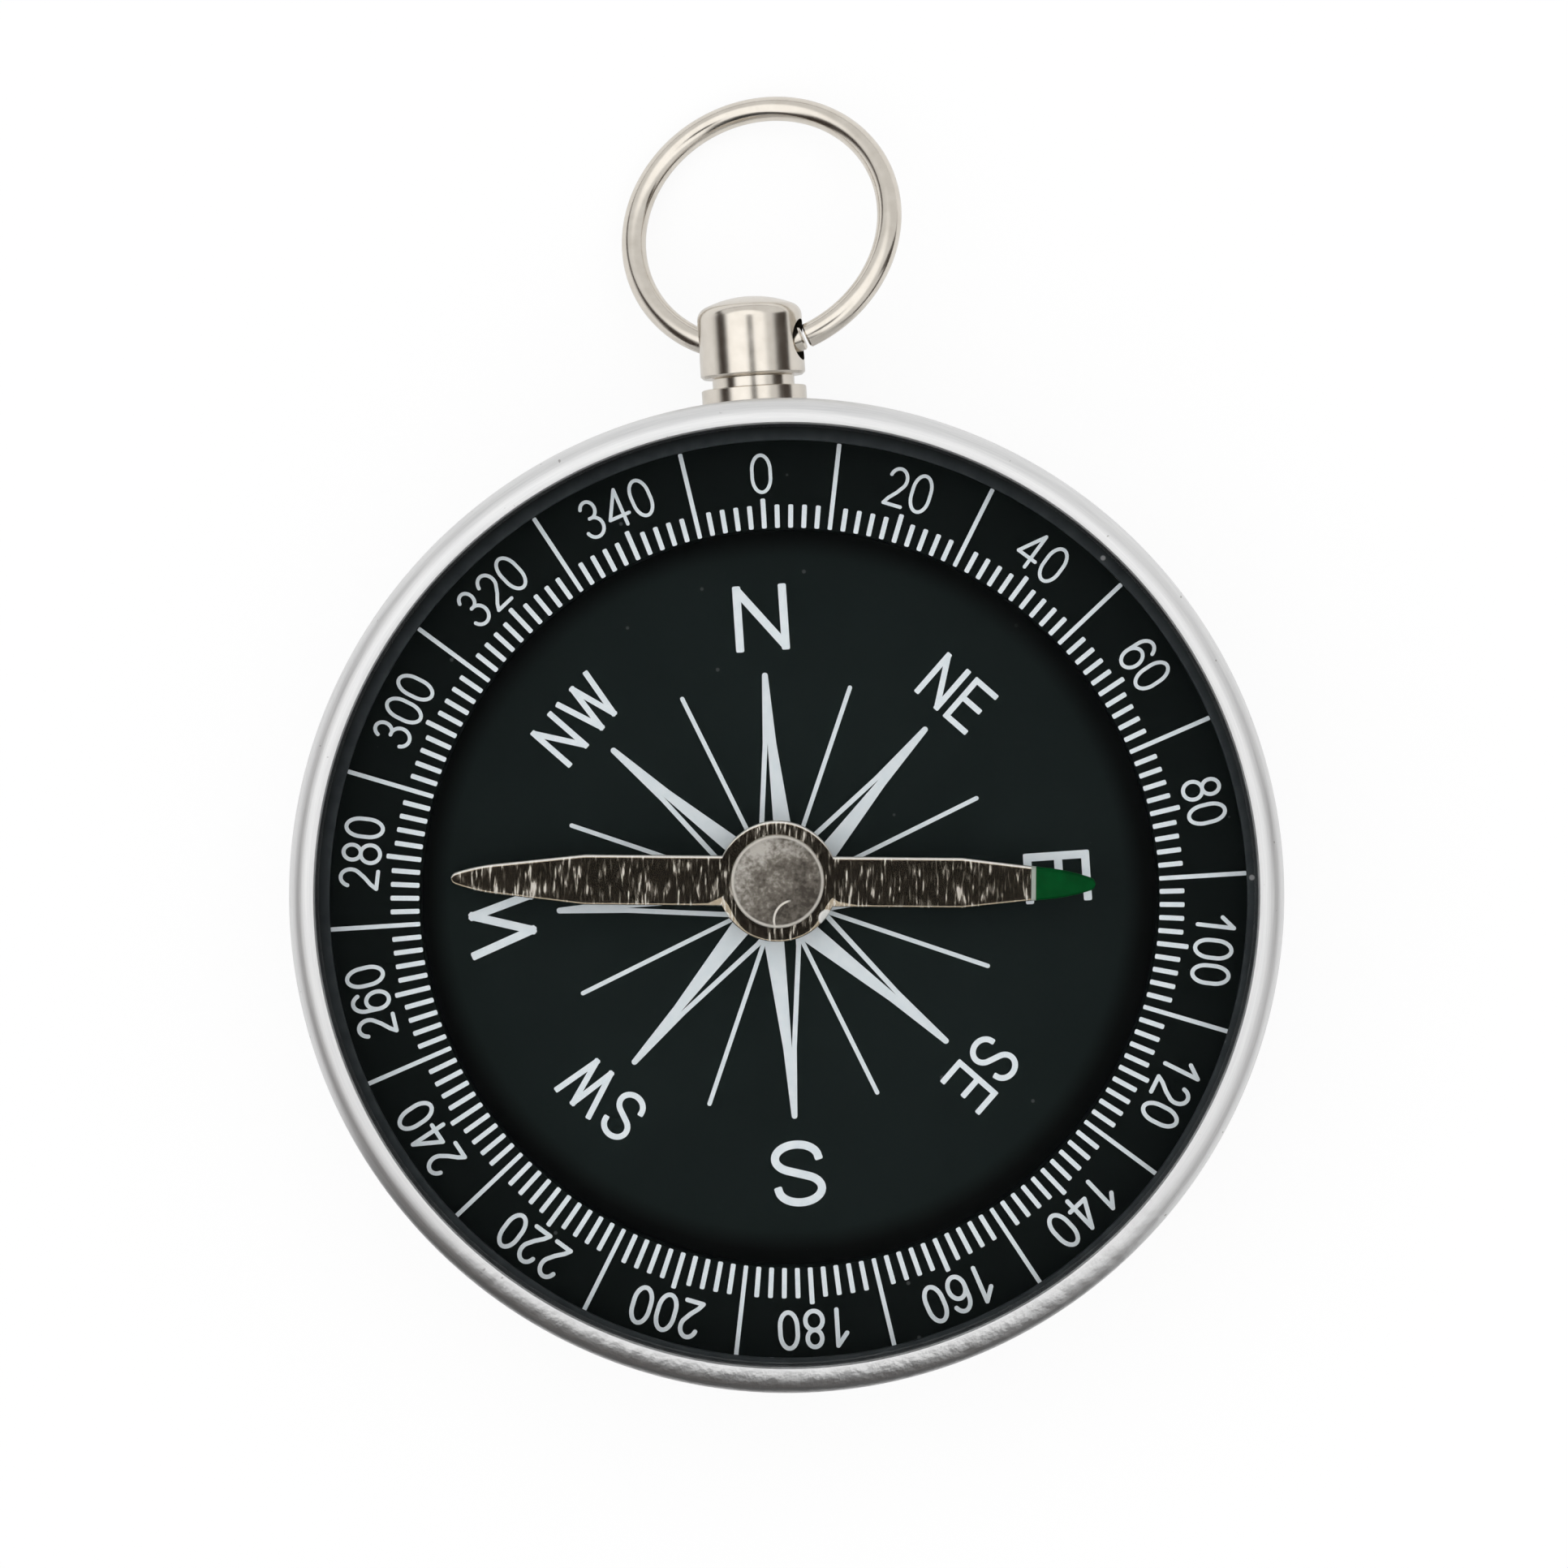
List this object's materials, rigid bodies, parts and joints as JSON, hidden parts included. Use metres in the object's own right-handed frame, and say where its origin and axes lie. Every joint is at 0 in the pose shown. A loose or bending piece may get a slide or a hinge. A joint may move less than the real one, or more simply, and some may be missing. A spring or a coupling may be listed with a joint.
{
  "type": "pocket compass",
  "caption": "Open-faced round pocket compass: rolled-rim metal case, clear crystal, raised degree ring, free needle on a pivot, and a stem with a loose wire ring.",
  "frame": {"origin": "middle of the case's flat back, on the surface the compass lies on", "axes": "+Z out of the crystal, towards the reader; +Y towards the stem and the dial's north; +X towards the dial's east"},
  "size_m": [0.044, 0.0581, 0.01],
  "materials": {
    "satin_aluminium": "satin, with fine lines along the rim",
    "clear_glass": "clear and polished",
    "dark_rubber": "matt dark grey",
    "black_plastic": "matt black moulding",
    "black_enamel": "satin black coat",
    "turned_brass": "turned",
    "pin_steel": "ground",
    "needle_steel": "dark nickel with short cross streaks",
    "bright_nickel": "bright nickel plate",
    "jewel_glass": "polished cup",
    "white_ink": "matt printed ink",
    "green_paint": "brushed-on gloss paint"
  },
  "bodies": {
    "case": {"case": "satin_aluminium", "crystal": "clear_glass", "crystal_seal": "dark_rubber", "spacer_ring": "black_plastic", "scale_ring": "black_plastic", "dial": "black_enamel", "dial_base": "black_plastic", "pivot_post": "turned_brass", "pivot_pin": "pin_steel", "stem": "bright_nickel"},
    "needle": {"needle": "needle_steel", "needle_cap": "bright_nickel", "cap_jewel": "jewel_glass"},
    "ring": {"ring": "bright_nickel"}
  },
  "joints": [
    {"name": "needle_spin", "type": "hinge", "parent": "case", "child": "needle", "pos_m": [-0.00037, 0.00061, 0.0059], "axis": [0, 0, 1], "continuous": true},
    {"name": "ring_swing", "type": "hinge", "parent": "case", "child": "ring", "pos_m": [0, 0.02472, 0.005], "axis": [0.9703, 0, 0.2419], "range_deg": [-96, 135]}
  ]
}
